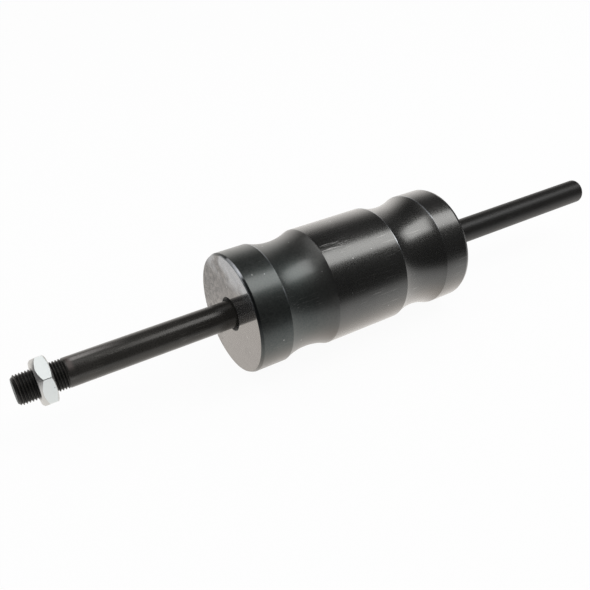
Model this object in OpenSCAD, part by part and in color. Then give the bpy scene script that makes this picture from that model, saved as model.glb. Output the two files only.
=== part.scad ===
// Slide hammer puller: a threaded rod, a jam nut and a sliding weight with a stop inside it.
// X runs along the rod toward the rear and Z is up. The origin lies on the rod's axis at the
// jam nut's front face, where an adapter on the front of the thread is seated.

/* [Rod] */
// Diameter of the plain rod
rod_d = 16; // [14:0.5:18]
// Whole length of the rod
rod_len = 402; // [370:1:520]
// Length and width of the chamfer at the front tip
tip_chamfer = 1.6; // [0.8:0.1:2]
// Length and width of the chamfer at the rear end
end_chamfer = 1.5; // [0.5:0.1:2]

/* [Thread] */
// Length of full thread in front of the jam nut, which takes the adapter
free_thread = 8.8; // [6:0.1:16]
// Length of thread from the jam nut's front face to the rear
rear_thread = 15.6; // [12:0.1:24]
// How far the thread's crest lies below the rod's surface
crest_drop = 0.05; // [0.02:0.01:0.12]
// Further drop of the crest from the jam nut's front face to the thread's rear end
runout_drop = 0.02; // [0.01:0.01:0.05]

/* [Jam nut] */
// Thickness of the jam nut
nut_t = 8; // [6:0.5:9]
// Width across the flats
nut_af = 24; // [24:0.5:27]
// Slope of the corner chamfers against the front face, in degrees
nut_front_slope = 45; // [20:1:50]
// Slope of the corner chamfers against the rear face, in degrees
nut_rear_slope = 28; // [20:1:40]
// How far the front face's chamfer circle lies inside the flats
nut_front_inset = 0.9; // [0.3:0.1:1.2]
// How far the rear face's chamfer circle lies inside the flats
nut_rear_inset = 0.6; // [0.3:0.1:1.2]
// Size of the countersink at both mouths of the thread
nut_mouth = 0.7; // [0.4:0.1:1]
// Turn of the nut about the rod, in degrees
nut_turn = 49.5; // [0:0.5:59.5]
// Radial play of the nut's thread on the rod's thread
nut_gap = 0.05; // [0.03:0.01:0.07]

/* [Weight] */
// Diameter of the weight
weight_d = 70; // [66:1:80]
// Length of the weight
weight_len = 146; // [140:1:170]
// Distance from the jam nut's front face to the weight's front face
weight_x = 108.8; // [80:0.1:120]
// Length of the land between the front end and the front groove
front_land = 19.7; // [15:0.1:24]
// Length of the land between the rear groove and the rear end
rear_land = 17.5; // [15:0.1:24]
// Length of each grip groove along the rod
groove_w = 30.5; // [24:0.5:34]
// Depth of each grip groove at its middle
groove_depth = 3; // [1.5:0.1:4.5]
// Length of the rim chamfer along the rod
rim_len = 1.8; // [1:0.1:3]
// Width of the rim chamfer across the face
rim_w = 0.8; // [0.4:0.1:2]
// Radial play of the weight on the rod
slide_gap = 0.3; // [0.15:0.05:0.4]
// Chamfer at both mouths of the rod's bore
mouth_chamfer = 1.7; // [1:0.1:2.5]

/* [Hollow inside the weight] */
// Diameter of the hollow that the stop collar runs in
hollow_d = 36; // [34:0.5:40]
// Thickness of the solid wall at the front
front_wall = 15; // [12:0.5:24]
// Length of the screwed plug at the rear
plug_len = 15; // [13:0.5:22]
// Width of the step that the plug seats on
plug_step = 2; // [1.5:0.1:3]
// Radial play of the plug's thread
plug_gap = 0.05; // [0.03:0.01:0.1]
// Chamfer on the plug's edges and at the mouth of its thread
plug_chamfer = 0.8; // [0.4:0.1:1.2]

/* [Stop collar] */
// Length of the stop collar
collar_len = 18; // [14:0.5:24]
// Radial room between the collar and the hollow
collar_room = 1; // [0.5:0.1:2]
// Radial play of the collar on the rod
collar_gap = 0.05; // [0.03:0.01:0.1]
// Chamfer on the collar's outer edges
collar_chamfer = 1; // [0.5:0.1:1.5]
// Diameter of the recess in each face for a retaining ring
recess_d = 25; // [24:0.5:28]
// Depth of the recess in each face
recess_depth = 2.5; // [2:0.1:3]
// How far the weight can slide rearward before its front wall meets the collar
slide_back = 64; // [50:1:80]

/* [Retaining rings] */
// Thickness of a retaining ring
ring_t = 1.5; // [1:0.1:1.7]
// Depth of the rod's groove for a ring
ring_groove_depth = 0.4; // [0.3:0.05:0.7]
// Width of the ring at its back
ring_back_w = 2.2; // [1.8:0.1:2.6]
// Width of the ring beside its ears
ring_side_w = 1.6; // [1.3:0.1:1.8]
// Diameter of each ear
ear_d = 3.6; // [3.2:0.1:4]
// Diameter of the hole in each ear
ear_hole_d = 1.7; // [1.2:0.1:2]
// Angle from the opening's middle to each ear, in degrees
ear_angle = 17; // [15:1:24]
// Width of the opening between the ears
ring_opening = 1.6; // [1:0.1:2]
// Play of a ring on each side in its groove, and round the groove's floor
ring_play = 0.05; // [0.03:0.01:0.1]
// Play of the collar between the two rings, on each side
collar_play = 0.1; // [0.05:0.05:0.2]

/* [Plug fittings] */
// Diameter of a lock screw
screw_d = 5; // [4:0.5:6]
// Length of a lock screw
screw_len = 10; // [6:0.5:12]
// Width across the flats of a lock screw's socket
socket_af = 2.5; // [2:0.5:2.5]
// Depth of a lock screw's socket
socket_depth = 3; // [2:0.5:4]
// Chamfer at both ends of a lock screw
screw_chamfer = 0.5; // [0.3:0.1:0.8]
// How far a lock screw lies below the weight's rear face
screw_sink = 0.4; // [0.2:0.1:1]
// Play round a lock screw and under its point
screw_gap = 0.05; // [0.03:0.01:0.1]
// Diameter of a pin spanner hole
spanner_hole_d = 5; // [4:0.5:5.5]
// Depth of a pin spanner hole
spanner_hole_depth = 7; // [5:0.5:10]

/* [Hidden] */
$fn = 96;

// One overrun for every cut that leaves a surface
over = 1;

// Rod: radii and stations along X
rod_r = rod_d / 2;
crest_r = rod_r - crest_drop;
runout_r = crest_r - runout_drop;
tip_x = -free_thread - tip_chamfer;
rod_end_x = tip_x + rod_len;

// Jam nut
nut_bore_r = crest_r + nut_gap;
nut_corner_r = nut_af / 2 / cos(30);
nut_front_r = nut_af / 2 - nut_front_inset;
nut_rear_r = nut_af / 2 - nut_rear_inset;
nut_front_drop = (nut_corner_r - nut_front_r) * tan(nut_front_slope);
nut_rear_drop = (nut_corner_r - nut_rear_r) * tan(nut_rear_slope);

// Weight: stations along X, measured from its own front face where a name ends in _s
weight_r = weight_d / 2;
bore_r = rod_r + slide_gap;
groove_middles_s = [front_land + groove_w / 2, weight_len - rear_land - groove_w / 2];
groove_arc_r = (groove_w * groove_w / 4 + groove_depth * groove_depth) / (2 * groove_depth);
hollow_r = hollow_d / 2;
hollow_end_s = weight_len - plug_len;
plug_thread_r = hollow_r + plug_step;
plug_x = weight_x + hollow_end_s;
rear_face_x = weight_x + weight_len;

// Stop collar and the two rings that hold it
collar_x = weight_x + front_wall + slide_back;
collar_r = hollow_r - collar_room;
ring_front_x = collar_x + recess_depth - collar_play - ring_t;
ring_rear_x = collar_x + collar_len - recess_depth + collar_play;
ring_floor_r = rod_r - ring_groove_depth;
ring_in_r = ring_floor_r + ring_play;
ring_out_r = ring_in_r + (ring_back_w + ring_side_w) / 2;
ring_shift = (ring_back_w - ring_side_w) / 2;
ear_place_r = ring_in_r + ear_d / 2;

// Plug fittings: the screws sit on the plug's thread line, the spanner holes a quarter turn away
screw_r = screw_d / 2;
screw_x = rear_face_x - screw_sink - screw_len;
socket_r = socket_af / 2 / cos(30);
spanner_place_r = (bore_r + mouth_chamfer + plug_thread_r) / 2;

// Draws a turned piece along the rod: in its profile x is the radius and y the station
module turned(at_x) {
    translate([at_x, 0, 0]) rotate([0, 90, 0]) rotate_extrude() children();
}

// Draws a straight bar along the rod, round unless a number of sides is given
module bar(at_x, len, r, sides = $fn) {
    translate([at_x, 0, 0]) rotate([0, 90, 0]) cylinder(h = len, r = r, $fn = sides);
}

// Cutter for the bore of a piece from station 0 to len, with a chamfer at the mouths asked for
module bore_profile(len, r, chamfer, front = true, rear = true) {
    translate([0, -over]) square([r, len + 2 * over]);
    if (front) polygon([[0, -over], [r + chamfer + over, -over], [r, chamfer], [0, chamfer]]);
    if (rear) polygon([[0, len + over], [r + chamfer + over, len + over], [r, len - chamfer],
                       [0, len - chamfer]]);
}

module rod() {
    color("#2b2a29") difference() {
        turned(0) polygon([
            [0, tip_x],
            [crest_r - tip_chamfer, tip_x],
            [crest_r, -free_thread],
            [crest_r, 0],
            [runout_r, rear_thread],
            [rod_r, rear_thread],
            [rod_r, rod_end_x - end_chamfer],
            [rod_r - end_chamfer, rod_end_x],
            [0, rod_end_x]
        ]);
        for (at_x = [ring_front_x, ring_rear_x])
            turned(at_x - ring_play) difference() {
                square([rod_r + over, ring_t + 2 * ring_play]);
                square([ring_floor_r, ring_t + 2 * ring_play]);
            }
    }
}

module jam_nut() {
    color("#cfd3d8") rotate([nut_turn, 0, 0]) difference() {
        intersection() {
            bar(0, nut_t, nut_corner_r, sides = 6);
            turned(0) polygon([
                [0, 0],
                [nut_front_r, 0],
                [nut_corner_r, nut_front_drop],
                [nut_corner_r, nut_t - nut_rear_drop],
                [nut_rear_r, nut_t],
                [0, nut_t]
            ]);
        }
        turned(0) bore_profile(nut_t, nut_bore_r, nut_mouth);
    }
}

module weight_body() {
    color("#5d656a") difference() {
        turned(weight_x) difference() {
            polygon([
                [0, 0],
                [weight_r - rim_w, 0],
                [weight_r, rim_len],
                [weight_r, weight_len - rim_len],
                [weight_r - rim_w, weight_len],
                [0, weight_len]
            ]);
            for (middle = groove_middles_s)
                translate([weight_r - groove_depth + groove_arc_r, middle])
                    circle(r = groove_arc_r);
            bore_profile(weight_len, bore_r, mouth_chamfer, rear = false);
            translate([0, front_wall]) square([hollow_r, weight_len]);
            translate([0, hollow_end_s]) square([plug_thread_r, plug_len + over]);
            polygon([
                [plug_thread_r, weight_len - plug_chamfer],
                [plug_thread_r + plug_chamfer + over, weight_len + over],
                [plug_thread_r, weight_len + over]
            ]);
        }
        lock_screw_holes();
    }
}

module end_plug() {
    plug_r = plug_thread_r - plug_gap;
    color("#555c61") difference() {
        turned(plug_x) difference() {
            polygon([
                [0, 0],
                [plug_r - plug_chamfer, 0],
                [plug_r, plug_chamfer],
                [plug_r, plug_len - plug_chamfer],
                [plug_r - plug_chamfer, plug_len],
                [0, plug_len]
            ]);
            bore_profile(plug_len, bore_r, mouth_chamfer);
        }
        lock_screw_holes();
        for (side = [-1, 1])
            translate([0, 0, side * spanner_place_r])
                bar(rear_face_x - spanner_hole_depth, spanner_hole_depth + over, spanner_hole_d / 2);
    }
}

module lock_screw_holes() {
    for (side = [-1, 1])
        translate([0, side * plug_thread_r, 0])
            bar(screw_x - screw_gap, screw_len + screw_gap + screw_sink + over, screw_r + screw_gap);
}

module lock_screw(side) {
    color("#2e2f31") translate([0, side * plug_thread_r, 0]) difference() {
        turned(screw_x) polygon([
            [0, 0],
            [screw_r - screw_chamfer, 0],
            [screw_r, screw_chamfer],
            [screw_r, screw_len - screw_chamfer],
            [screw_r - screw_chamfer, screw_len],
            [0, screw_len]
        ]);
        bar(screw_x + screw_len - socket_depth, socket_depth + over, socket_r, sides = 6);
    }
}

module lock_screw_left() { lock_screw(-1); }

module lock_screw_right() { lock_screw(1); }

module stop_collar() {
    color("#85898c") turned(collar_x) difference() {
        polygon([
            [rod_r + collar_gap, 0],
            [collar_r - collar_chamfer, 0],
            [collar_r, collar_chamfer],
            [collar_r, collar_len - collar_chamfer],
            [collar_r - collar_chamfer, collar_len],
            [rod_r + collar_gap, collar_len]
        ]);
        translate([0, -over]) square([recess_d / 2, recess_depth + over]);
        translate([0, collar_len - recess_depth]) square([recess_d / 2, recess_depth + over]);
    }
}

// An open ring that is wider at its back than beside its two pierced ears
module retaining_ring(at_x) {
    color("#3a3c3f") translate([at_x, 0, 0]) rotate([0, 90, 0]) linear_extrude(ring_t)
        difference() {
            union() {
                translate([ring_shift, 0]) circle(r = ring_out_r);
                for (side = [-1, 1])
                    rotate(side * (180 - ear_angle)) translate([ear_place_r, 0]) circle(d = ear_d);
            }
            circle(r = ring_in_r);
            for (side = [-1, 1])
                rotate(side * (180 - ear_angle)) translate([ear_place_r, 0])
                    circle(d = ear_hole_d);
            translate([-ring_out_r - ear_d, -ring_opening / 2])
                square([ring_out_r + ear_d, ring_opening]);
        }
}

module ring_front() { retaining_ring(ring_front_x); }

module ring_rear() { retaining_ring(ring_rear_x); }

rod();
jam_nut();
weight_body();
end_plug();
lock_screw_left();
lock_screw_right();
stop_collar();
ring_front();
ring_rear();
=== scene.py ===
"""Slide hammer puller: blackened rod with a cut thread, zinc-plated jam nut and turned, blued weight.

The scene is in metres on the solids' own frame: X along the rod toward the rear, Z up, and the origin on
the axis at the jam nut's front face. Shapes are worked out in millimetres and brought to metres at the end.
"""
import math

import bmesh
import bpy
import numpy as np
from mathutils import Matrix, Vector


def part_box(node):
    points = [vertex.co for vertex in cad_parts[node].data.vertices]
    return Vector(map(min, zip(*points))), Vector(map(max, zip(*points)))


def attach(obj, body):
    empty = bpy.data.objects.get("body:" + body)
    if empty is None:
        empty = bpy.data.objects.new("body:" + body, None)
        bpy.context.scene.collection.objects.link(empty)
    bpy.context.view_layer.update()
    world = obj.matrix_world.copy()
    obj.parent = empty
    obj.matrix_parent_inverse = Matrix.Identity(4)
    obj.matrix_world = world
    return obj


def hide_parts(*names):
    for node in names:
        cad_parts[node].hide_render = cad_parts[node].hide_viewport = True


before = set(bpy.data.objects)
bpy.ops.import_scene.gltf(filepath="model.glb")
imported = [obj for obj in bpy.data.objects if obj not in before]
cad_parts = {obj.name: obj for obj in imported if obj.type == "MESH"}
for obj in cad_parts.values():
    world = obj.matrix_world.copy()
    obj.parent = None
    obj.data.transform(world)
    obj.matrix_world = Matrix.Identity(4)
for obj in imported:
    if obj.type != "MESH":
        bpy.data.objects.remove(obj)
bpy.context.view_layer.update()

MM = 0.001

# Points closer than the first distance are merged, and edges shorter than the second go, both in metres
MERGE_GAP, SHORT_EDGE = 2e-7, 1e-7

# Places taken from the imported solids, in millimetres, but the floor's height in metres
rod_low, rod_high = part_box("rod")
weight_low, weight_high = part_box("weight_body")
TIP_X, ROD_END_X, ROD_R = rod_low[0] / MM, rod_high[0] / MM, rod_high[2] / MM
WEIGHT_X, WEIGHT_END_X, WEIGHT_R = weight_low[0] / MM, weight_high[0] / MM, weight_high[1] / MM
NUT_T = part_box("jam_nut")[1][0] / MM
PLUG_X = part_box("end_plug")[0][0] / MM
FLOOR_Z = -WEIGHT_R * MM

# Thread M16 x 1.5: pitch, crest and root radius, where it ends and how long it runs out. The shares of one
# pitch mark the ends of crest, flank, root and flank, and each of these carries its number of mesh lines.
PITCH, CREST_R, ROOT_R = 1.5, 7.95, 7.04
THREAD_END_X, RUNOUT = 15.6, 1.4
BEND_SHARES = [0.0, 0.125, 0.479, 0.646, 1.0]
BEND_RADII = [CREST_R, CREST_R, ROOT_R, ROOT_R, CREST_R]
MESH_LINES = (2, 3, 2, 3)
LINE_SHARES = np.concatenate([np.linspace(start, end, lines, endpoint=False) for start, end, lines
                              in zip(BEND_SHARES[:-1], BEND_SHARES[1:], MESH_LINES)])

# Rod: chamfers, softness of the rear chamfer's two edges and how far from the end its stretch begins, the
# small step behind the thread, and the ring grooves
TIP_CHAMFER, REAR_CHAMFER = 1.6, 1.5
REAR_EDGE_SOFT, REAR_FACE_SOFT = 0.35, 0.25
REAR_STRETCH = 8
STEP_H, STEP_LEN = 0.02, 0.05
RING_GROOVE_DEPTH, RING_PLAY = 0.4, 0.05
ROD_COLUMNS = 144

# Jam nut: half the width across flats, radius over the corners, where the chamfers start and how steep they
# are in degrees, bore, mouth, play of the thread, softness of the edges, and the turn at which a corner lies
NUT_HALF_AF, NUT_CORNER_R = 12.0, 13.72
NUT_FRONT_R, NUT_REAR_R = 11.1, 11.4
NUT_FRONT_SLOPE, NUT_REAR_SLOPE = 45, 28
NUT_BORE_R, NUT_MOUTH, NUT_THREAD_PLAY = 7.19, 0.7, 0.05
NUT_SOFT = 0.12
NUT_CORNER_TURN = 19.5 / 360
NUT_COLUMNS, NUT_SHARP_DEGREES = 360, 24

# Weight: lands and grip grooves, rims, front wall, bore, hollow, plug seat, lock screw holes, soft edges
FRONT_LAND, REAR_LAND = 19.7, 17.5
GROOVE_W, GROOVE_DEPTH = 30.5, 3
RIM_LEN, RIM_DROP = 1.8, 0.8
FRONT_WALL, HOLLOW_R = 15, 18.0
BORE_PLAY, MOUTH_CHAMFER = 0.3, 1.7
PLUG_R, SEAT_CHAMFER = 20.0, 0.8
LOCK_HOLE_R, LOCK_HOLE_DEPTH, OVERRUN = 2.55, 10.45, 1
RIM_SOFT, FACE_SOFT, SMALL_SOFT = 0.25, 0.2, 0.1
WEIGHT_COLUMNS, LOCK_HOLE_COLUMNS, WEIGHT_SHARP_DEGREES = 288, 48, 20


def thread_radius(x, turn):
    """Radius of the thread at station x and angle turn (in turns): a flat crest, a straight flank down to a
    flat root and a flank up again, repeated every pitch and pushed along by the angle."""
    return np.interp(np.mod(x / PITCH - turn, 1.0), BEND_SHARES, BEND_RADII)


def thread_rows(turn, start, end):
    """Stations of the lines that follow the thread: pitch times the angle plus each line of the profile,
    held between start and end. Gives an array of angle by line."""
    first = math.floor(start / PITCH) - 2
    last = math.ceil(end / PITCH) + 2
    lines = (np.arange(first, last)[:, None] + LINE_SHARES[None, :]).ravel()
    return np.clip(PITCH * (turn[:, None] + lines[None, :]), start, end)


def all_round(values, columns):
    """Array of angle by row that has the same values at every angle."""
    return np.broadcast_to(np.array(values, float), (columns, len(values)))


def tube_faces(columns, rows, shifts):
    """Quads of a grid that closes round the axis. Where the last column meets the first, row j joins row
    shifts[j], which lets a helix close on its next turn."""
    quads = []
    j = np.arange(rows - 1)
    for i in range(columns - 1):
        a, b = i * rows, (i + 1) * rows
        quads.append(np.stack([a + j, b + j, b + j + 1, a + j + 1], 1))
    a = (columns - 1) * rows
    quads.append(np.stack([a + j, shifts[:-1], shifts[1:], a + j + 1], 1))
    return np.concatenate(quads)


def mark_edges(work, sharp_degrees):
    """Smooth faces, with each edge sharp where its two faces turn by more than sharp_degrees."""
    limit = math.radians(sharp_degrees)
    for face in work.faces:
        face.smooth = True
    for edge in work.edges:
        edge.smooth = len(edge.link_faces) == 2 and edge.calc_face_angle(0.0) < limit


def make_piece(name, points, quads, sharp_degrees=28):
    """Mesh object from points in millimetres and quads: doubles merged, faces outward, smooth but for edges
    that bend by more than sharp_degrees."""
    mesh = bpy.data.meshes.new(name)
    mesh.from_pydata((points * MM).tolist(), [], quads.tolist())
    work = bmesh.new()
    work.from_mesh(mesh)
    bmesh.ops.remove_doubles(work, verts=work.verts, dist=MERGE_GAP)
    bmesh.ops.dissolve_degenerate(work, edges=work.edges, dist=SHORT_EDGE)
    bmesh.ops.recalc_face_normals(work, faces=work.faces)
    mark_edges(work, sharp_degrees)
    work.to_mesh(mesh)
    work.free()
    piece = bpy.data.objects.new(name, mesh)
    bpy.context.scene.collection.objects.link(piece)
    return piece


def ring_points(x, r, turn):
    """Points at station x and radius r round the rod's axis, for arrays of angle by row."""
    angle = 2 * math.pi * turn[:, None]
    return np.stack([x, r * np.cos(angle), r * np.sin(angle)], -1).reshape(-1, 3)


def revolved(name, profile, columns):
    """Turned piece: each profile point (station, radius) swept in a full circle round the rod's axis."""
    stations, radii = np.array(profile, float).T
    turn = np.arange(columns) / columns
    points = ring_points(all_round(stations, columns), all_round(radii, columns), turn)
    return make_piece(name, points, tube_faces(columns, len(stations), np.arange(len(stations))))


def rounded(corners, steps=4):
    """Profile with soft corners: each (station, radius, softness) corner becomes a short parabola that leaves
    both sides at the distance softness from the corner."""
    line = []
    for k, (x, r, soft) in enumerate(corners):
        here = np.array([x, r])
        if not soft or k in (0, len(corners) - 1):
            line.append(here)
            continue
        before = np.array(corners[k - 1][:2]) - here
        after = np.array(corners[k + 1][:2]) - here
        before = here + before / np.linalg.norm(before) * soft
        after = here + after / np.linalg.norm(after) * soft
        for t in np.linspace(0, 1, steps + 1):
            line.append((1 - t) ** 2 * before + 2 * t * (1 - t) * here + t ** 2 * after)
    return line


def held(profile, margin=0.2):
    """Profile with one more point close to both ends of each long straight side, so that the softening of a
    corner doesn't spread over the whole side."""
    profile = np.array([tuple(point)[:2] for point in profile], float)
    line = [profile[0]]
    for here, there in zip(profile[:-1], profile[1:]):
        length = np.linalg.norm(there - here)
        if length > 5 * margin:
            line.append(here + (there - here) * margin / length)
            line.append(there - (there - here) * margin / length)
        line.append(there)
    return np.array(line)


def grip_groove(start, steps=30):
    """Hollow from station start over the groove's width: an arc of one circle that sinks by the groove's
    depth in the middle."""
    half = GROOVE_W / 2
    arc_r = (half * half + GROOVE_DEPTH * GROOVE_DEPTH) / (2 * GROOVE_DEPTH)
    from_middle = np.linspace(-half, half, steps + 1)
    radii = WEIGHT_R - GROOVE_DEPTH + arc_r - np.sqrt(arc_r ** 2 - from_middle ** 2)
    return [(start + half + s, r, 0) for s, r in zip(from_middle, radii)]


def rod_shank():
    """Profile behind the thread: a small step up to the full radius, two ring grooves, the plain shank, the
    rear chamfer and the end face."""
    line = [(THREAD_END_X, ROD_R - STEP_H), (THREAD_END_X + STEP_LEN, ROD_R)]
    for low, high in (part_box("ring_front"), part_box("ring_rear")):
        start, end = low[0] / MM - RING_PLAY, high[0] / MM + RING_PLAY
        floor_r = ROD_R - RING_GROOVE_DEPTH
        line += [(start, ROD_R), (start, floor_r), (end, floor_r), (end, ROD_R)]
    line += [tuple(point) for point in rounded([
        (ROD_END_X - REAR_STRETCH, ROD_R, 0), (ROD_END_X - REAR_CHAMFER, ROD_R, REAR_EDGE_SOFT),
        (ROD_END_X, ROD_R - REAR_CHAMFER, REAR_FACE_SOFT), (ROD_END_X, 0, 0)])]
    return held(line)


def rod_piece():
    """Rod: end face, chamfer, helical thread that runs out into the shank, then the shank's profile.
    The thread's rows follow the helix; all other rows are plain circles."""
    turn = np.arange(ROD_COLUMNS) / ROD_COLUMNS
    x = thread_rows(turn, TIP_X, THREAD_END_X)
    r = thread_radius(x, turn[:, None])
    r = r + (CREST_R - r) * np.clip((x - (THREAD_END_X - RUNOUT)) / RUNOUT, 0, 1)
    r = np.minimum(r, CREST_R - TIP_CHAMFER + (x - TIP_X))
    threaded = x.shape[1]
    shank = rod_shank()
    x = np.concatenate([all_round([TIP_X], ROD_COLUMNS), x, all_round(shank[:, 0], ROD_COLUMNS)], 1)
    r = np.concatenate([all_round([0.0], ROD_COLUMNS), r, all_round(shank[:, 1], ROD_COLUMNS)], 1)
    rows = x.shape[1]
    shifts = np.arange(rows)
    shifts[1:1 + threaded] = np.minimum(shifts[1:1 + threaded] + len(LINE_SHARES), threaded)
    return make_piece("rod_threaded", ring_points(x, r, turn), tube_faces(ROD_COLUMNS, rows, shifts))


def nut_piece():
    """Jam nut: at each angle the flat lies at half the width across flats over the cosine of the angle from
    the flat's middle; a steep cone cuts the front corners and a shallow one the rear corners, and the bore
    carries the rod's thread plus its play."""
    turn = NUT_CORNER_TURN + np.arange(NUT_COLUMNS) / NUT_COLUMNS
    from_flat = np.mod(turn - NUT_CORNER_TURN, 1 / 6) - 1 / 12
    flat_r = np.minimum(NUT_HALF_AF / np.cos(2 * math.pi * from_flat), NUT_CORNER_R)
    front_cut = (flat_r - NUT_FRONT_R) * math.tan(math.radians(NUT_FRONT_SLOPE))
    rear_cut = NUT_T - (flat_r - NUT_REAR_R) * math.tan(math.radians(NUT_REAR_SLOPE))
    mouth_r = CREST_R + NUT_THREAD_PLAY + NUT_MOUTH
    soft = NUT_SOFT
    outside = [
        (0, mouth_r), (0, NUT_FRONT_R - 2 * soft), (0, NUT_FRONT_R - soft),
        (0.6 * soft, NUT_FRONT_R + 0.6 * soft), (front_cut - 0.7 * soft, flat_r - 0.7 * soft),
        (front_cut + 0.8 * soft, flat_r), (front_cut + 2 * soft, flat_r),
        (rear_cut - 2 * soft, flat_r), (rear_cut - soft, flat_r), (rear_cut + 0.5 * soft, flat_r - soft),
        (NUT_T - 0.5 * soft, NUT_REAR_R + 0.9 * soft), (NUT_T, NUT_REAR_R - soft),
        (NUT_T, NUT_REAR_R - 2 * soft), (NUT_T, mouth_r)]
    outside_x = np.stack([np.broadcast_to(station, NUT_COLUMNS) for station, radius in outside], 1)
    outside_r = np.stack([np.broadcast_to(radius, NUT_COLUMNS) for station, radius in outside], 1)
    bore_x = thread_rows(turn, 0.0, NUT_T)
    bore_r = np.maximum(thread_radius(bore_x, turn[:, None]) + NUT_THREAD_PLAY, NUT_BORE_R)
    bore_r = np.maximum(bore_r, mouth_r - np.minimum(bore_x, NUT_T - bore_x))
    x = np.concatenate([outside_x, bore_x[:, ::-1]], 1)
    r = np.concatenate([outside_r, bore_r[:, ::-1]], 1)
    rows, outer = x.shape[1], len(outside)
    shifts = np.arange(rows)
    shifts[outer:] = np.maximum(shifts[outer:] - len(LINE_SHARES), outer)
    return make_piece("nut_plated", ring_points(x, r, turn), tube_faces(NUT_COLUMNS, rows, shifts),
                      NUT_SHARP_DEGREES)


def cut_lock_holes(weight):
    """Cuts the two lock screw holes on the plug's thread line and marks the edges anew."""
    start = WEIGHT_END_X - LOCK_HOLE_DEPTH
    end = WEIGHT_END_X + OVERRUN
    outline = [(start, 0), (start, LOCK_HOLE_R), (end, LOCK_HOLE_R), (end, 0)]
    cutters = []
    for side in (-1, 1):
        cutter = revolved("screw_hole_cutter", outline, LOCK_HOLE_COLUMNS)
        cutter.data.transform(Matrix.Translation((0, side * PLUG_R * MM, 0)))
        cut = weight.modifiers.new("screw_hole", "BOOLEAN")
        cut.object, cut.solver, cut.operation = cutter, "EXACT", "DIFFERENCE"
        cutters.append(cutter)
    bpy.context.view_layer.update()
    solid = bpy.data.meshes.new_from_object(weight.evaluated_get(bpy.context.evaluated_depsgraph_get()))
    weight.modifiers.clear()
    weight.data = solid
    for cutter in cutters:
        bpy.data.objects.remove(cutter)
    work = bmesh.new()
    work.from_mesh(solid)
    mark_edges(work, WEIGHT_SHARP_DEGREES)
    work.to_mesh(solid)
    work.free()


def weight_piece():
    """Weight: two chamfered rims, two arc-shaped grip grooves, plug seat, hollow, inner wall and bore, turned
    as one closed profile; then the two lock screw holes are cut."""
    front, rear = WEIGHT_X, WEIGHT_END_X
    bore_r = ROD_R + BORE_PLAY
    mouth_r = bore_r + MOUTH_CHAMFER
    line = [(front, mouth_r, 0), (front, WEIGHT_R - RIM_DROP, FACE_SOFT),
            (front + RIM_LEN, WEIGHT_R, RIM_SOFT)]
    line += grip_groove(front + FRONT_LAND) + grip_groove(rear - REAR_LAND - GROOVE_W)
    line += [(rear - RIM_LEN, WEIGHT_R, RIM_SOFT), (rear, WEIGHT_R - RIM_DROP, FACE_SOFT),
             (rear, PLUG_R + SEAT_CHAMFER, SMALL_SOFT), (rear - SEAT_CHAMFER, PLUG_R, 0),
             (PLUG_X, PLUG_R, 0), (PLUG_X, HOLLOW_R, 0), (front + FRONT_WALL, HOLLOW_R, 0),
             (front + FRONT_WALL, bore_r, 0), (front + MOUTH_CHAMFER, bore_r, SMALL_SOFT),
             (front, mouth_r, 0)]
    weight = revolved("weight_turned", held(rounded(line)), WEIGHT_COLUMNS)
    cut_lock_holes(weight)
    return weight


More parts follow.
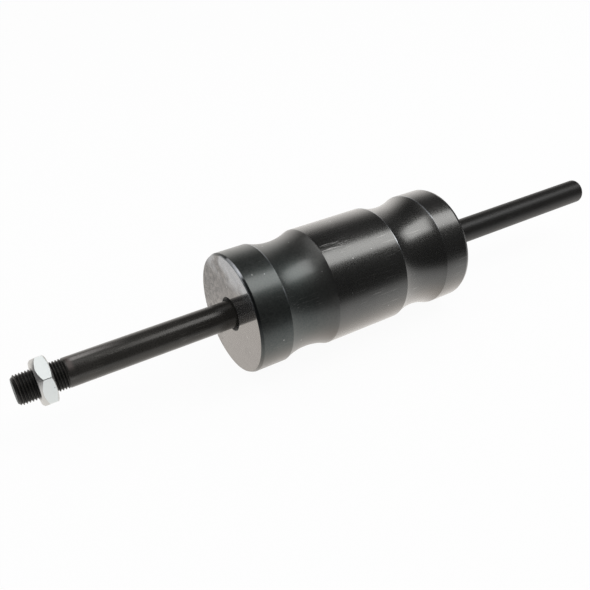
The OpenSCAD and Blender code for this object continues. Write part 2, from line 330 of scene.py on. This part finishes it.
class Nodes:
    """Short way to lay out a node tree: add() makes a node and sets or links its inputs by name or number."""

    def __init__(self, tree):
        self.tree = tree
        tree.nodes.clear()

    def link(self, value, socket):
        self.tree.links.new(value, socket)

    def add(self, kind, inputs=None, **settings):
        node = self.tree.nodes.new(kind)
        for key, value in settings.items():
            setattr(node, key, value)
        for key, value in (inputs or {}).items():
            if isinstance(value, bpy.types.NodeSocket):
                self.link(value, node.inputs[key])
            else:
                node.inputs[key].default_value = value
        return node

    def use(self, group, **values):
        """Places a node group and sets its inputs; underscores in a name stand for spaces."""
        inputs = {label.replace("_", " "): value for label, value in values.items()}
        return self.add("ShaderNodeGroup", inputs, node_tree=group).outputs

    def math(self, operation, a, b=0.0, c=0.0, clamp=False):
        return self.add("ShaderNodeMath", {0: a, 1: b, 2: c}, operation=operation, use_clamp=clamp).outputs[0]

    def times(self, first, *others):
        """Product of masks."""
        for other in others:
            first = self.math("MULTIPLY", first, other)
        return first

    def plus(self, base, mask, amount, clamp=False):
        """Base plus the mask times the amount."""
        return self.math("MULTIPLY_ADD", mask, amount, base, clamp)

    def split(self, vector):
        """X, Y and Z of a vector."""
        return list(self.add("ShaderNodeSeparateXYZ", {0: vector}).outputs)

    def along_axis(self):
        """How squarely a face looks along the rod's axis: the size of its normal's X."""
        return self.math("ABSOLUTE", self.split(self.add("ShaderNodeNewGeometry").outputs["Normal"])[0])

    def off_axis(self, y, z):
        """Distance from the rod's axis."""
        return self.math("SQRT", self.math("ADD", self.times(y, y), self.times(z, z)))

    def blend(self, factor, a, b):
        return self.add("ShaderNodeMix", {0: factor, 6: a, 7: b}, data_type="RGBA").outputs[2]

    def tint(self, colour, mask, share, other):
        """Colour with the share of another laid over it where the mask is 1."""
        return self.blend(self.times(mask, share), colour, other)

    def smooth(self, value, low, high, to_low=0.0, to_high=1.0):
        """Soft step from to_low at low to to_high at high."""
        return self.add("ShaderNodeMapRange", {0: value, 1: low, 2: high, 3: to_low, 4: to_high},
                        interpolation_type="SMOOTHSTEP").outputs[0]

    def window(self, value, rise, fall):
        """1 between two soft steps: up from the first to the second value of rise, and down over fall."""
        return self.times(self.smooth(value, *rise), self.smooth(value, fall[1], fall[0]))

    def noise(self, vector, scale, detail=3.0, roughness=0.55, dimensions="3D"):
        source = "W" if dimensions == "1D" else "Vector"
        inputs = {source: vector, "Scale": scale, "Detail": detail, "Roughness": roughness}
        return self.add("ShaderNodeTexNoise", inputs, noise_dimensions=dimensions).outputs[0]

    def relief(self, height, strength, distance):
        inputs = {"Height": height, "Strength": strength, "Distance": distance}
        return self.add("ShaderNodeBump", inputs).outputs[0]

    def surface(self, **inputs):
        """Principled shader and output, with the given sockets set or linked."""
        inputs = {label.replace("_", " "): value for label, value in inputs.items()}
        shader = self.add("ShaderNodeBsdfPrincipled", inputs)
        self.add("ShaderNodeOutputMaterial", {0: shader.outputs[0]})


def effect(name, numbers, values):
    """New shader node group that reads a place and named numbers with their defaults, and gives named
    values."""
    group = bpy.data.node_groups.new(name, "ShaderNodeTree")
    group.interface.new_socket("Place", in_out="INPUT", socket_type="NodeSocketVector")
    for label, number in numbers.items():
        socket = group.interface.new_socket(label, in_out="INPUT", socket_type="NodeSocketFloat")
        socket.default_value = number
    for label in values:
        group.interface.new_socket(label, in_out="OUTPUT", socket_type="NodeSocketFloat")
    nodes = Nodes(group)
    return group, nodes, nodes.add("NodeGroupInput").outputs, nodes.add("NodeGroupOutput").inputs


def turning_marks():
    """Rings left by the lathe: noise along the rod's axis only, so that every ring runs round the axis.
    Height is the fine rings, and Tone is slower ones, between five and six times as wide."""
    group, nodes, given, out = effect("turning_marks", {"Rings per metre": 2500.0}, ("Height", "Tone"))
    station = nodes.split(given["Place"])[0]
    wide = nodes.times(given["Rings per metre"], 0.18)
    nodes.link(nodes.noise(station, given["Rings per metre"], 2.0, 0.7, "1D"), out["Height"])
    nodes.link(nodes.noise(station, wide, 3.0, 0.6, "1D"), out["Tone"])
    return group


def handling_marks():
    """Marks of use: Cloud is slow noise from -1 to 1 for tone, and Grain is fine speckle from 0 to 1. Nicks
    is 1 in small spots, where a cell's distance to its own random point is under Nick size and the cell's
    random number is under Nick share."""
    group, nodes, given, out = effect(
        "handling_marks", {"Cloud scale": 40.0, "Grain scale": 1500.0, "Nick scale": 160.0, "Nick size": 0.1,
                           "Nick share": 0.06}, ("Cloud", "Grain", "Nicks"))
    place = given["Place"]
    cloud = nodes.noise(place, given["Cloud scale"], 4.0, 0.6)
    cells = nodes.add("ShaderNodeTexVoronoi", {"Vector": place, "Scale": given["Nick scale"]}).outputs
    number = nodes.add("ShaderNodeSeparateColor", {0: cells["Color"]}).outputs[0]
    near = nodes.math("LESS_THAN", cells["Distance"], given["Nick size"])
    rare = nodes.math("LESS_THAN", number, given["Nick share"])
    nodes.link(nodes.math("MULTIPLY_ADD", cloud, 2.0, -1.0), out["Cloud"])
    nodes.link(nodes.noise(place, given["Grain scale"], 3.0, 0.7), out["Grain"])
    nodes.link(nodes.times(near, rare), out["Nicks"])
    return group


def ring_wear_and_glint():
    """Wear and painted edge highlights on turned edges: 1 at each of four stations, falling to 0 at the width
    beside it, and kept only where a slow noise is above Bare. A higher Bare leaves fewer marked places."""
    group, nodes, given, out = effect(
        "ring_wear_and_glint", {"Edge A": 0.0, "Edge B": 0.0, "Edge C": 0.0, "Edge D": 0.0, "Width": 0.0005,
                       "Patch scale": 90.0, "Bare": 0.5}, ("Mask",))
    station = nodes.split(given["Place"])[0]
    gaps = [nodes.math("ABSOLUTE", nodes.math("SUBTRACT", station, given["Edge " + letter]))
            for letter in "ABCD"]
    near = gaps[0]
    for gap in gaps[1:]:
        near = nodes.math("MINIMUM", near, gap)
    share = nodes.math("SUBTRACT", 1.0, nodes.math("DIVIDE", near, given["Width"]), clamp=True)
    patch = nodes.noise(given["Place"], given["Patch scale"], 4.0, 0.5)
    patch = nodes.math("MULTIPLY", nodes.math("SUBTRACT", patch, given["Bare"]), 9.0, clamp=True)
    nodes.link(nodes.times(share, patch), out["Mask"])
    return group


def axial_scuffs():
    """Fine scratches that run along the axis: noise drawn out 25 times along X, kept where it is above Cut,
    inside the patches of a slower noise and wherever Always is 1."""
    group, nodes, given, out = effect(
        "axial_scuffs", {"Fineness": 1500.0, "Patch scale": 60.0, "Cut": 0.62, "Always": 0.0}, ("Mask",))
    drawn = nodes.add("ShaderNodeMapping", {"Vector": given["Place"], "Scale": (0.04, 1.0, 1.0)}).outputs[0]
    lines = nodes.noise(drawn, given["Fineness"], 2.0, 0.6)
    patch = nodes.noise(given["Place"], given["Patch scale"], 2.0, 0.5)
    high = nodes.math("MULTIPLY", nodes.math("SUBTRACT", lines, given["Cut"]), 14.0, clamp=True)
    share = nodes.math("MAXIMUM", nodes.smooth(patch, 0.5, 0.66), given["Always"])
    nodes.link(nodes.times(high, share), out["Mask"])
    return group


TURNING = turning_marks()
HANDLING = handling_marks()
RING_WEAR_AND_GLINT = ring_wear_and_glint()
SCUFFS = axial_scuffs()


def finish(name):
    """New material with its node helper and Object coordinates."""
    material = bpy.data.materials.new(name)
    material.use_nodes = True
    nodes = Nodes(material.node_tree)
    return material, nodes, nodes.add("ShaderNodeTexCoord").outputs["Object"]


def scratched_patch(nodes, place):
    """1 on a small patch near the top of the centre band, on the side toward -Y."""
    x, y, z = nodes.split(place)
    along = nodes.window(x, (0.159, 0.1605), (0.174, 0.182))
    round_band = nodes.window(y, (-0.0158, -0.0146), (-0.0112, -0.0098))
    return nodes.times(along, round_band, nodes.math("GREATER_THAN", z, 0.0))


def edge_wear_and_glint(nodes, place):
    """Rubbed lines near the top that are partly wear and partly painted highlight, where the lamp above would
    glint on the edges: on the front rim, on the front edges of both grooves and on the rear edge of the rear
    groove, where they are faint but for the very top."""
    x, _, z = nodes.split(place)
    front, rear = WEIGHT_X * MM, WEIGHT_END_X * MM
    wear_and_glint = nodes.use(RING_WEAR_AND_GLINT, Place=place, Edge_A=front + FRONT_LAND * MM, Edge_B=front + 0.0002,
                     Edge_C=rear - (REAR_LAND + GROOVE_W) * MM, Edge_D=rear - REAR_LAND * MM, Width=0.0006,
                     Patch_scale=55.0, Bare=0.36)["Mask"]
    # Painted highlight: the lines are kept near the top, where the lamp above would catch the edges.
    faint = nodes.times(nodes.math("GREATER_THAN", x, 0.23), nodes.smooth(z, 0.0315, 0.030))
    return nodes.times(wear_and_glint, nodes.smooth(z, 0.016, 0.026), nodes.plus(1.0, faint, -0.8))


def rim_shade_and_glint(nodes, place, square, face, wear_and_glint):
    """Two masks: painted shade on the chamfered rims of both ends, stronger toward the top, and a painted
    highlight on an arc at the top of the front one."""
    x, y, z = nodes.split(place)
    rim_zone = 0.003
    at_front = nodes.math("LESS_THAN", x, WEIGHT_X * MM + rim_zone)
    at_rear = nodes.math("GREATER_THAN", x, WEIGHT_END_X * MM - rim_zone)
    free = nodes.math("SUBTRACT", 1.0, nodes.math("MAXIMUM", face, wear_and_glint), clamp=True)
    rim = nodes.times(nodes.smooth(square, 0.25, 0.4), nodes.math("MAXIMUM", at_front, at_rear), free)
    # Painted highlight: an arc on the front rim's upper side, where it would mirror the lamp above.
    arc = nodes.times(nodes.window(y, (-0.0155, -0.0115), (0.0012, 0.0042)),
                      nodes.math("GREATER_THAN", z, 0.0), rim, at_front)
    # Painted shade: the rims darken more toward the top.
    rim = nodes.times(rim, nodes.smooth(z, -0.006, 0.014, 0.2, 1.0), nodes.math("SUBTRACT", 1.0, arc))
    return rim, arc


def blued_skin(nodes, place, marks, rings, pits, satin):
    """Colour of the turned sides: a green cast that turns brown by a slow noise and toward the rear, each
    between a dark and a light tone, browner low down, with paler pits and rings."""
    x, _, z = nodes.split(place)
    tone = nodes.math("MULTIPLY_ADD", marks["Cloud"], 0.9, 0.5, clamp=True)
    cast = nodes.math("MULTIPLY_ADD", nodes.noise(place, 14.0, 2.0), 1.2, -0.6)
    cast = nodes.math("ADD", cast, nodes.smooth(x, 0.135, 0.164), clamp=True)
    green = nodes.blend(tone, (0.058, 0.069, 0.066, 1), (0.082, 0.096, 0.091, 1))
    brown = nodes.blend(tone, (0.088, 0.087, 0.083, 1), (0.122, 0.119, 0.113, 1))
    skin = nodes.blend(cast, green, brown)
    skin = nodes.tint(skin, nodes.smooth(z, -0.002, -0.018), 0.4, (0.2, 0.15, 0.115, 1))
    skin = nodes.tint(skin, pits, nodes.plus(0.08, satin, 0.14), (0.2, 0.207, 0.2, 1))
    return nodes.tint(skin, rings["Tone"], 0.1, (0.18, 0.185, 0.18, 1))


def faced_colour(nodes, place, pits):
    """Colour of the faced ends: warm, unblued steel, darker toward the top and +Y as painted shade and more
    so in blots, with paler pits, dark specks toward +Y and slow darker smears."""
    _, y, z = nodes.split(place)
    high = nodes.smooth(nodes.plus(z, y, 0.6), -0.010, 0.023)
    blots = nodes.smooth(nodes.noise(place, 240.0, 4.0, 0.65), 0.40, 0.62)
    # Painted shade: the faced ends darken toward the top and +Y, more so in the blots.
    shade_and_blots = nodes.times(nodes.math("MULTIPLY_ADD", blots, 0.5, 0.55, clamp=True), high)
    specks = nodes.times(nodes.smooth(nodes.noise(place, 620.0, 3.0, 0.6), 0.52, 0.6),
                         nodes.smooth(y, 0.004, 0.024, 0.1, 1.0))
    smears = nodes.smooth(nodes.noise(place, 70.0, 4.0, 0.6), 0.5, 0.7)
    # The second colour is the painted shade toward the top.
    faced = nodes.blend(shade_and_blots, (0.31, 0.294, 0.28, 1), (0.118, 0.114, 0.113, 1))
    faced = nodes.tint(faced, pits, 0.05, (0.34, 0.33, 0.32, 1))
    faced = nodes.tint(faced, specks, 0.85, (0.06, 0.057, 0.055, 1))
    return nodes.tint(faced, smears, 0.14, (0.13, 0.125, 0.12, 1))


def blued_steel():
    """Blued turned steel: near-black sides, satin on the front part and smoother behind, with fine pits,
    faint lathe rings, short scuffs along the axis and a few bright nicks; paler, nearly smooth faced ends;
    rubbed groove edges that are partly painted highlight near the top, rims made dark as painted shade
    with one arc of painted highlight, a scratched patch on the centre band and painted shade in the bore
    mouth."""
    material, nodes, place = finish("blued_turned_steel")
    rings = nodes.use(TURNING, Place=place, Rings_per_metre=3200.0)
    marks = nodes.use(HANDLING, Place=place, Cloud_scale=34.0, Grain_scale=950.0, Nick_scale=150.0,
                      Nick_size=0.07, Nick_share=0.35)
    x, y, z = nodes.split(place)
    square = nodes.along_axis()
    face = nodes.smooth(square, 0.93, 0.985)
    satin = nodes.smooth(x, 0.160, 0.1565)
    pits = nodes.smooth(marks["Grain"], 0.36, 0.62)
    # Painted shade: the bore and its mouth, near the axis, are made near-black below.
    mouth = nodes.smooth(nodes.off_axis(y, z), 0.0105, 0.0095)
    wear_and_glint = edge_wear_and_glint(nodes, place)
    rim, arc = rim_shade_and_glint(nodes, place, square, face, wear_and_glint)
    patch = scratched_patch(nodes, place)
    scuffed = nodes.use(SCUFFS, Place=place, Fineness=1300.0, Patch_scale=48.0, Cut=0.6)["Mask"]
    scored = nodes.use(SCUFFS, Place=place, Fineness=1500.0, Cut=0.54, Always=patch)["Mask"]
    scored = nodes.times(scored, patch)

    skin = blued_skin(nodes, place, marks, rings, pits, satin)
    colour = nodes.blend(face, skin, faced_colour(nodes, place, pits))
    # Pale bluish lines on the rubbed edges: partly wear, partly painted highlight.
    colour = nodes.tint(colour, wear_and_glint, 0.75, (0.58, 0.61, 0.65, 1))
    colour = nodes.tint(colour, scuffed, 0.3, (0.5, 0.49, 0.47, 1))
    colour = nodes.tint(colour, scored, 0.8, (0.62, 0.61, 0.6, 1))
    colour = nodes.tint(colour, marks["Nicks"], 0.5, (0.55, 0.55, 0.54, 1))
    # Painted shade: the rims are made near-black.
    colour = nodes.tint(colour, rim, 0.85, (0.02, 0.022, 0.024, 1))
    # Painted highlight: the pale arc on the front rim.
    colour = nodes.tint(colour, arc, 0.9, (0.62, 0.64, 0.68, 1))
    # Painted shade: the bore mouth is made near-black.
    colour = nodes.tint(colour, mouth, 0.9, (0.012, 0.012, 0.012, 1))

    coat = nodes.plus(0.9, nodes.math("MAXIMUM", mouth, nodes.times(rim, 0.7)), -0.8)
    coat = nodes.plus(coat, satin, -0.3)
    coat = nodes.plus(coat, face, -0.9, clamp=True)
    rough = nodes.plus(0.26, pits, nodes.plus(0.03, satin, 0.05))
    rough = nodes.plus(rough, marks["Cloud"], 0.05)
    rough = nodes.plus(rough, satin, 0.08)
    rough = nodes.plus(rough, scored, 0.2)
    rough = nodes.plus(rough, face, nodes.math("SUBTRACT", 0.085, rough))
    height = nodes.plus(marks["Grain"], rings["Height"], 0.35)
    height = nodes.times(height, nodes.plus(1.0, face, -0.97), nodes.plus(0.3, satin, 0.7))
    nodes.surface(Base_Color=colour, Metallic=0.95, Roughness=rough,
                  Normal=nodes.relief(height, 0.22, 0.00003), Coat_Weight=coat, Coat_Roughness=0.2,
                  Coat_IOR=1.6, Sheen_Weight=0.14, Sheen_Roughness=0.35)
    return material


def black_rod():
    """Blackened drawn rod: near-black with a faint brown cast, blacker and duller on its rear part, with fine
    rings, scuffs and nicks, painted shade in the thread valleys and a pale tip face. Just behind the thread
    it has a rubbed brown patch and a painted highlight in a line along the top."""
    material, nodes, place = finish("blackened_rod")
    rings = nodes.use(TURNING, Place=place, Rings_per_metre=1400.0)
    marks = nodes.use(HANDLING, Place=place, Cloud_scale=55.0, Grain_scale=1300.0, Nick_scale=210.0,
                      Nick_size=0.06, Nick_share=0.03)
    scuffed = nodes.use(SCUFFS, Place=place, Fineness=1700.0, Patch_scale=40.0, Cut=0.6)["Mask"]
    x, y, z = nodes.split(place)
    thread_end = THREAD_END_X * MM
    skin_depth = 0.05
    tip = nodes.math("LESS_THAN", x, (TIP_X + skin_depth) * MM)
    threaded = nodes.smooth(x, thread_end, thread_end - MM)
    # Painted shade in the thread valleys.
    valley_shade = nodes.times(nodes.smooth(nodes.off_axis(y, z), 0.0079, 0.0073),
                         nodes.math("LESS_THAN", x, thread_end))
    rear = nodes.smooth(x, 0.24, 0.275)
    rub = nodes.times(
        nodes.window(x, (thread_end, thread_end + MM), (thread_end + 2 * MM, thread_end + 4 * MM)),
        nodes.smooth(z, 0.0045, 0.0068), nodes.math("MULTIPLY_ADD", marks["Grain"], 1.2, 0.1, clamp=True))
    # Painted highlight: a pale line along the top of the rod behind the thread, fading out toward the weight.
    off_top = nodes.math("ABSOLUTE", nodes.math("ADD", y, 0.0006))
    top_highlight = nodes.times(nodes.window(x, (thread_end + MM, thread_end + 4 * MM), (0.018, 0.052)),
                       nodes.smooth(off_top, 0.0019, 0.0004), nodes.math("GREATER_THAN", z, 0.0))

    tone = nodes.math("MULTIPLY_ADD", marks["Cloud"], 0.9, 0.5, clamp=True)
    colour = nodes.blend(tone, (0.031, 0.0288, 0.0255, 1), (0.05, 0.047, 0.042, 1))
    colour = nodes.tint(colour, scuffed, 0.35, (0.2, 0.19, 0.175, 1))
    # Painted highlight along the top.
    colour = nodes.tint(colour, top_highlight, 0.85, (0.42, 0.40, 0.385, 1))
    colour = nodes.tint(colour, rub, 0.4, (0.24, 0.19, 0.18, 1))
    # Painted shade: the thread valleys are made near-black.
    colour = nodes.tint(colour, valley_shade, 0.8, (0.008, 0.008, 0.008, 1))
    colour = nodes.blend(tip, colour, (0.2, 0.215, 0.208, 1))
    colour = nodes.blend(marks["Nicks"], colour, (0.4, 0.39, 0.37, 1))
    colour = nodes.tint(colour, rear, 0.8, (0.005, 0.0046, 0.0042, 1))

    rough = nodes.plus(0.2, marks["Grain"], 0.16)
    rough = nodes.plus(rough, rub, 0.2)
    rough = nodes.plus(rough, rear, 0.13)
    rough = nodes.plus(rough, tip, 0.5)
    rough = nodes.plus(rough, threaded, 0.08)
    coat = nodes.plus(0.4, nodes.math("MAXIMUM", rear, threaded), -0.4)
    nodes.surface(Base_Color=colour, Metallic=nodes.plus(0.5, rear, -0.45), Roughness=rough,
                  Normal=nodes.relief(rings["Height"], 0.15, 0.00001), Coat_Weight=coat, Coat_Roughness=0.2,
                  Sheen_Weight=0.1, Sheen_Roughness=0.3)
    return material


def zinc_plate():
    """Bright zinc plate with a cold tint: slow clouds of tone, fine grain in roughness and relief, chamfers
    and end faces darker and a little warm as painted shade, and a few darker nicks."""
    material, nodes, place = finish("zinc_plate")
    marks = nodes.use(HANDLING, Place=place, Cloud_scale=160.0, Grain_scale=2600.0, Nick_scale=300.0,
                      Nick_size=0.12, Nick_share=0.05)
    tone = nodes.math("MULTIPLY_ADD", marks["Cloud"], 0.5, 0.5, clamp=True)
    # Painted shade: chamfers and end faces, which face along the axis, are made darker and a little warm.
    turned = nodes.smooth(nodes.along_axis(), 0.25, 0.5)
    colour = nodes.blend(tone, (0.945, 0.99, 0.975, 1), (0.97, 1.0, 0.99, 1))
    colour = nodes.tint(colour, turned, 0.85, (0.6, 0.595, 0.58, 1))
    colour = nodes.blend(marks["Nicks"], colour, (0.55, 0.57, 0.58, 1))
    nodes.surface(Base_Color=colour, Metallic=0.88, Roughness=nodes.plus(0.3, marks["Grain"], 0.14),
                  Normal=nodes.relief(marks["Grain"], 0.2, 0.00002))
    return material


def plain_steel(name, dark, light, roughness, rings_per_metre):
    """Bare or oiled steel between two tones, with lathe rings and grain."""
    material, nodes, place = finish(name)
    rings = nodes.use(TURNING, Place=place, Rings_per_metre=rings_per_metre)
    marks = nodes.use(HANDLING, Place=place, Cloud_scale=90.0, Grain_scale=2400.0)
    tone = nodes.math("MULTIPLY_ADD", marks["Cloud"], 0.5, 0.5, clamp=True)
    colour = nodes.tint(nodes.blend(tone, dark, light), rings["Tone"], 0.3, light)
    nodes.surface(Base_Color=colour, Metallic=0.95, Roughness=nodes.plus(roughness, marks["Grain"], 0.15),
                  Normal=nodes.relief(rings["Height"], 0.2, 0.00001))
    return material


def dress(thing, material):
    """Gives a piece or node this one material."""
    thing.data.materials.clear()
    thing.data.materials.append(material)


def make_floor():
    """White floor that the weight lies on; it keeps a faint shadow. Where metal mirrors it, it darkens toward
    -Y by a power curve, but stays bright round the nut and beyond the rod's tip, and it is a little warm near
    the tool and behind it."""
    left, right, near, far = -2.5, 3.5, -0.75, 4.0
    corners = [(left, near), (right, near), (right, far), (left, far)]
    mesh = bpy.data.meshes.new("floor")
    mesh.from_pydata([(x, y, FLOOR_Z) for x, y in corners], [], [(0, 1, 2, 3)])
    floor = bpy.data.objects.new("floor", mesh)
    bpy.context.scene.collection.objects.link(floor)
    material, nodes, place = finish("floor_white")
    x, y, _ = nodes.split(place)
    path = nodes.add("ShaderNodeLightPath").outputs
    seen = nodes.math("MAXIMUM", path["Is Camera Ray"], path["Is Glossy Ray"])
    seen = nodes.math("MAXIMUM", seen, path["Is Transmission Ray"])
    mirrored = nodes.math("SUBTRACT", 1.0, path["Is Camera Ray"])
    paint = nodes.blend(nodes.noise(place, 6.0), (0.84, 0.84, 0.84, 1), (0.88, 0.88, 0.88, 1))
    lit = nodes.math("POWER", nodes.math("MULTIPLY_ADD", y, 3.45, 1.1, clamp=True), 1.5)
    lit = nodes.math("MAXIMUM", lit, nodes.smooth(x, 0.076, 0.060, 0.0, 0.85))
    lit = nodes.math("MAXIMUM", nodes.math("MAXIMUM", lit, 0.04), path["Is Camera Ray"])
    white = nodes.tint((1, 1, 1, 1), nodes.smooth(y, -0.1, -0.03), mirrored, (1, 0.965, 0.925, 1))
    matte = nodes.add("ShaderNodeBsdfDiffuse", {"Color": paint}).outputs[0]
    glow = nodes.add("ShaderNodeEmission", {"Color": white, "Strength": lit}).outputs[0]
    both = nodes.add("ShaderNodeMixShader", {0: nodes.times(seen, 0.95), 1: matte, 2: glow})
    nodes.add("ShaderNodeOutputMaterial", {0: both.outputs[0]})
    dress(floor, material)


def make_world():
    """White to the camera; to reflections a dim room with a pale wall low behind the tool; else soft grey."""
    world = bpy.data.worlds.new("studio")
    world.use_nodes = True
    bpy.context.scene.world = world
    nodes = Nodes(world.node_tree)
    path = nodes.add("ShaderNodeLightPath").outputs
    _, y, z = nodes.split(nodes.add("ShaderNodeTexCoord").outputs["Generated"])
    wall = nodes.times(nodes.smooth(y, 0.45, 0.85), nodes.smooth(z, 0.70, 0.12))
    room = nodes.blend(wall, (0.03, 0.03, 0.03, 1), (1, 0.968, 0.935, 1))
    soft = nodes.blend(path["Is Glossy Ray"], (0.6, 0.6, 0.61, 1), room)
    direct = nodes.math("MAXIMUM", path["Is Camera Ray"], path["Is Transmission Ray"])
    colour = nodes.blend(direct, soft, (1, 1, 1, 1))
    back = nodes.add("ShaderNodeBackground", {"Color": colour, "Strength": 1.0})
    nodes.add("ShaderNodeOutputWorld", {0: back.outputs[0]})


def make_lamp(name, place, width, depth, power):
    """Rectangular soft lamp at place, facing straight down."""
    lamp = bpy.data.lights.new(name, "AREA")
    lamp.shape, lamp.size, lamp.size_y, lamp.energy = "RECTANGLE", width, depth, power
    thing = bpy.data.objects.new(name, lamp)
    thing.location = place
    bpy.context.scene.collection.objects.link(thing)


def make_camera():
    """Camera at the photograph's place and angle, worked out from its perspective: the right axis is made
    square to the view, and the up axis is square to both."""
    camera = bpy.data.cameras.new("camera")
    camera.sensor_width, camera.lens = 36.0, 44.36
    camera.clip_start, camera.clip_end = 0.02, 20
    place = (-0.03446, -0.29529, 0.24196)
    right = Vector((0.84648, -0.53242, 0.0)).normalized()
    forward = Vector((0.43573, 0.69277, -0.57463)).normalized()
    right = (right - forward * right.dot(forward)).normalized()
    up = right.cross(forward)
    thing = bpy.data.objects.new("camera", camera)
    thing.matrix_world = Matrix.Translation(place) @ Matrix((right, up, -forward)).transposed().to_4x4()
    bpy.context.scene.collection.objects.link(thing)
    bpy.context.scene.camera = thing


bpy.context.scene.view_settings.view_transform = "Standard"
make_camera()
make_world()
make_floor()
make_lamp("softbox_above", (0.85, -0.275, 1.0), 1.08, 0.56, 4.9)
make_lamp("softbox_far_end", (1.67, -0.275, 1.0), 0.56, 0.56, 1.5)
make_lamp("dim_panel_left", (-0.025, 0.35, 1.0), 0.55, 1.3, 1.0)
make_lamp("card_over_nut", (0.0, 0.1, 0.45), 0.17, 0.24, 0.12)

rod_threaded = rod_piece()
dress(rod_threaded, black_rod())
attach(rod_threaded, "rod")
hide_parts("rod")

nut_plated = nut_piece()
dress(nut_plated, zinc_plate())
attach(nut_plated, "nut")
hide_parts("jam_nut")

blued = blued_steel()
weight_turned = weight_piece()
dress(weight_turned, blued)
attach(weight_turned, "weight")
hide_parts("weight_body")

screw_black = plain_steel("screw_black", (0.03, 0.03, 0.032, 1), (0.06, 0.06, 0.062, 1), 0.25, 1500.0)
ground_steel = plain_steel("ground_steel", (0.4, 0.4, 0.41, 1), (0.52, 0.53, 0.53, 1), 0.2, 2600.0)
spring_black = plain_steel("spring_black", (0.07, 0.07, 0.075, 1), (0.13, 0.13, 0.135, 1), 0.25, 1200.0)
dress(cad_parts["end_plug"], blued)
dress(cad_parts["lock_screw_left"], screw_black)
dress(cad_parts["lock_screw_right"], screw_black)
dress(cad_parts["stop_collar"], ground_steel)
dress(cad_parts["ring_front"], spring_black)
dress(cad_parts["ring_rear"], spring_black)
